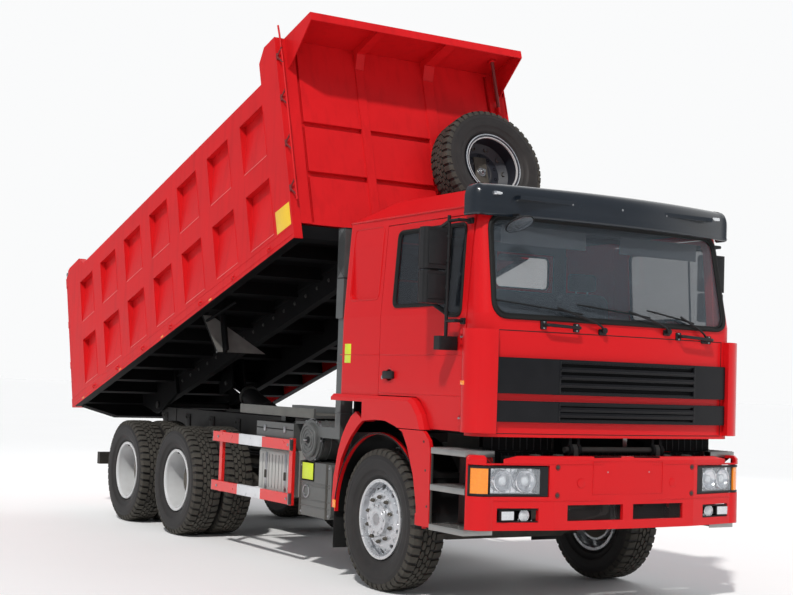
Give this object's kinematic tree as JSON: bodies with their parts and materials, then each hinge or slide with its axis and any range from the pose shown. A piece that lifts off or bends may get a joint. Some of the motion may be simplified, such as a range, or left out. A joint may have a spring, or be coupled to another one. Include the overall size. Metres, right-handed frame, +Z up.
{
  "type": "dump truck",
  "caption": "Three-axle dump truck with a flat-nosed tilting cab, a ribbed steel bed raised on its hoist, a top-hung tailgate and a spare wheel.",
  "frame": {"origin": "on the ground under the centre of the truck's bounding box", "axes": "+X to the truck's left, -Y forward, +Z up"},
  "size_m": [2.85, 8.8518, 4.7132],
  "materials": {
    "red_paint": "gloss",
    "black_frame": "satin",
    "navy_visor": "gloss",
    "black_plastic": "matte",
    "tyre": "matte",
    "silver_rim": "satin",
    "cast_iron": "rough",
    "tank_metal": "satin",
    "step_metal": "satin",
    "window_glass": "gloss",
    "lamp_glass": "gloss",
    "seat_cloth": "woven",
    "hoist_chrome": "polished",
    "guard_stripe": "satin"
  },
  "bodies": {
    "chassis": {"chassis_frame": "black_frame", "tipper_subframe": "black_frame", "front_axle": "cast_iron", "drive_axles": "cast_iron", "leaf_springs": "cast_iron", "engine": "cast_iron", "propeller_shafts": "cast_iron", "fuel_tank": "tank_metal", "battery_box": "black_plastic", "air_filter": "black_plastic", "muffler": "black_plastic", "side_guards": "guard_stripe", "rear_bar": "black_frame", "air_tanks": "black_frame", "bumper": "red_paint", "lamps": "lamp_glass", "steps": "step_metal", "fenders": "red_paint"},
    "cab": {"cab_sides": "red_paint", "cab_back": "red_paint", "cab_front_panel": "red_paint", "cab_glass": "window_glass", "cab_roof": "red_paint", "cab_floor": "black_plastic", "seats": "seat_cloth", "dashboard": "black_plastic", "grille": "black_plastic", "corner_panels": "red_paint", "visor": "navy_visor", "arch_mouldings": "red_paint"},
    "door_left": {"door_left": "red_paint", "door_glass_left": "window_glass", "mirror_left": "black_plastic"},
    "door_right": {"door_right": "red_paint", "door_glass_right": "window_glass", "mirror_right": "black_plastic"},
    "bed": {"bed_floor": "black_frame", "bed_sides": "red_paint", "headboard": "red_paint", "canopy": "red_paint", "spare_tyre": "tyre", "spare_rim": "silver_rim"},
    "tailgate": {"tailgate": "red_paint"},
    "hoist_barrel": {"hoist_barrel": "black_frame"},
    "hoist_rod": {"hoist_rod": "hoist_chrome"},
    "knuckle_left": {"knuckle_left": "cast_iron"},
    "knuckle_right": {"knuckle_right": "cast_iron"},
    "tie_rod": {"tie_rod": "cast_iron"},
    "wheel_front_left": {"front_tyre_left": "tyre", "front_rim_left": "silver_rim"},
    "wheel_front_right": {"front_tyre_right": "tyre", "front_rim_right": "silver_rim"},
    "wheel_mid_left": {"mid_tyres_left": "tyre", "mid_rims_left": "silver_rim"},
    "wheel_mid_right": {"mid_tyres_right": "tyre", "mid_rims_right": "silver_rim"},
    "wheel_rear_left": {"rear_tyres_left": "tyre", "rear_rims_left": "silver_rim"},
    "wheel_rear_right": {"rear_tyres_right": "tyre", "rear_rims_right": "silver_rim"}
  },
  "joints": [
    {"name": "bed_tip", "type": "hinge", "parent": "chassis", "child": "bed", "pos_m": [0, 3.16812, 1.204], "axis": [-1, 0, 0], "range_deg": [-16.44, 33]},
    {"name": "tailgate_swing", "type": "hinge", "parent": "bed", "child": "tailgate", "pos_m": [0, 4.38925, 2.70998], "axis": [1, 0, 0], "range_deg": [0, 50]},
    {"name": "cab_tilt", "type": "hinge", "parent": "chassis", "child": "cab", "pos_m": [0, -4.26388, 1.13], "axis": [1, 0, 0], "range_deg": [0, 55]},
    {"name": "door_left_swing", "type": "hinge", "parent": "cab", "child": "door_left", "pos_m": [1.184, -4.05788, 1.6], "axis": [0, 0, -1], "range_deg": [0, 65]},
    {"name": "door_right_swing", "type": "hinge", "parent": "cab", "child": "door_right", "pos_m": [-1.184, -4.05788, 1.6], "axis": [0, 0, 1], "range_deg": [0, 65]},
    {"name": "steer_left", "type": "hinge", "parent": "chassis", "child": "knuckle_left", "pos_m": [0.88, -2.93388, 0.53], "axis": [0, 0, 1], "range_deg": [-35, 35]},
    {"name": "steer_right", "type": "hinge", "parent": "chassis", "child": "knuckle_right", "pos_m": [-0.88, -2.93388, 0.53], "axis": [0, 0, 1], "range_deg": [-35, 35]},
    {"name": "tie_rod_pivot", "type": "hinge", "parent": "knuckle_left", "child": "tie_rod", "pos_m": [0.88, -2.74388, 0.384], "axis": [0, 0, 1], "range_deg": [-35, 35]},
    {"name": "wheel_front_left_spin", "type": "hinge", "parent": "knuckle_left", "child": "wheel_front_left", "pos_m": [1.025, -2.93388, 0.53], "axis": [1, 0, 0], "continuous": true},
    {"name": "wheel_front_right_spin", "type": "hinge", "parent": "knuckle_right", "child": "wheel_front_right", "pos_m": [-1.025, -2.93388, 0.53], "axis": [1, 0, 0], "continuous": true},
    {"name": "wheel_mid_left_spin", "type": "hinge", "parent": "chassis", "child": "wheel_mid_left", "pos_m": [0.915, 0.86612, 0.53], "axis": [1, 0, 0], "continuous": true},
    {"name": "wheel_mid_right_spin", "type": "hinge", "parent": "chassis", "child": "wheel_mid_right", "pos_m": [-0.915, 0.86612, 0.53], "axis": [1, 0, 0], "continuous": true},
    {"name": "wheel_rear_left_spin", "type": "hinge", "parent": "chassis", "child": "wheel_rear_left", "pos_m": [0.915, 2.21612, 0.53], "axis": [1, 0, 0], "continuous": true},
    {"name": "wheel_rear_right_spin", "type": "hinge", "parent": "chassis", "child": "wheel_rear_right", "pos_m": [-0.915, 2.21612, 0.53], "axis": [1, 0, 0], "continuous": true},
    {"name": "hoist_swing", "type": "hinge", "parent": "chassis", "child": "hoist_barrel", "pos_m": [0, 0.06612, 0.82], "axis": [1, 0, 0], "range_deg": [-6, 11]},
    {"name": "hoist_extend", "type": "slide", "parent": "hoist_barrel", "child": "hoist_rod", "axis": [0, 0.9548, 0.2972], "range_m": [-0.2, 0.4]}
  ],
  "couplings": [
    {"joint": "steer_right", "follows": "steer_left", "ratio": 1},
    {"joint": "tie_rod_pivot", "follows": "steer_left", "ratio": -1},
    {"joint": "hoist_swing", "follows": "bed_tip", "ratio": 0.2825},
    {"joint": "hoist_extend", "follows": "bed_tip", "m_per_rad": 0.6485}
  ]
}
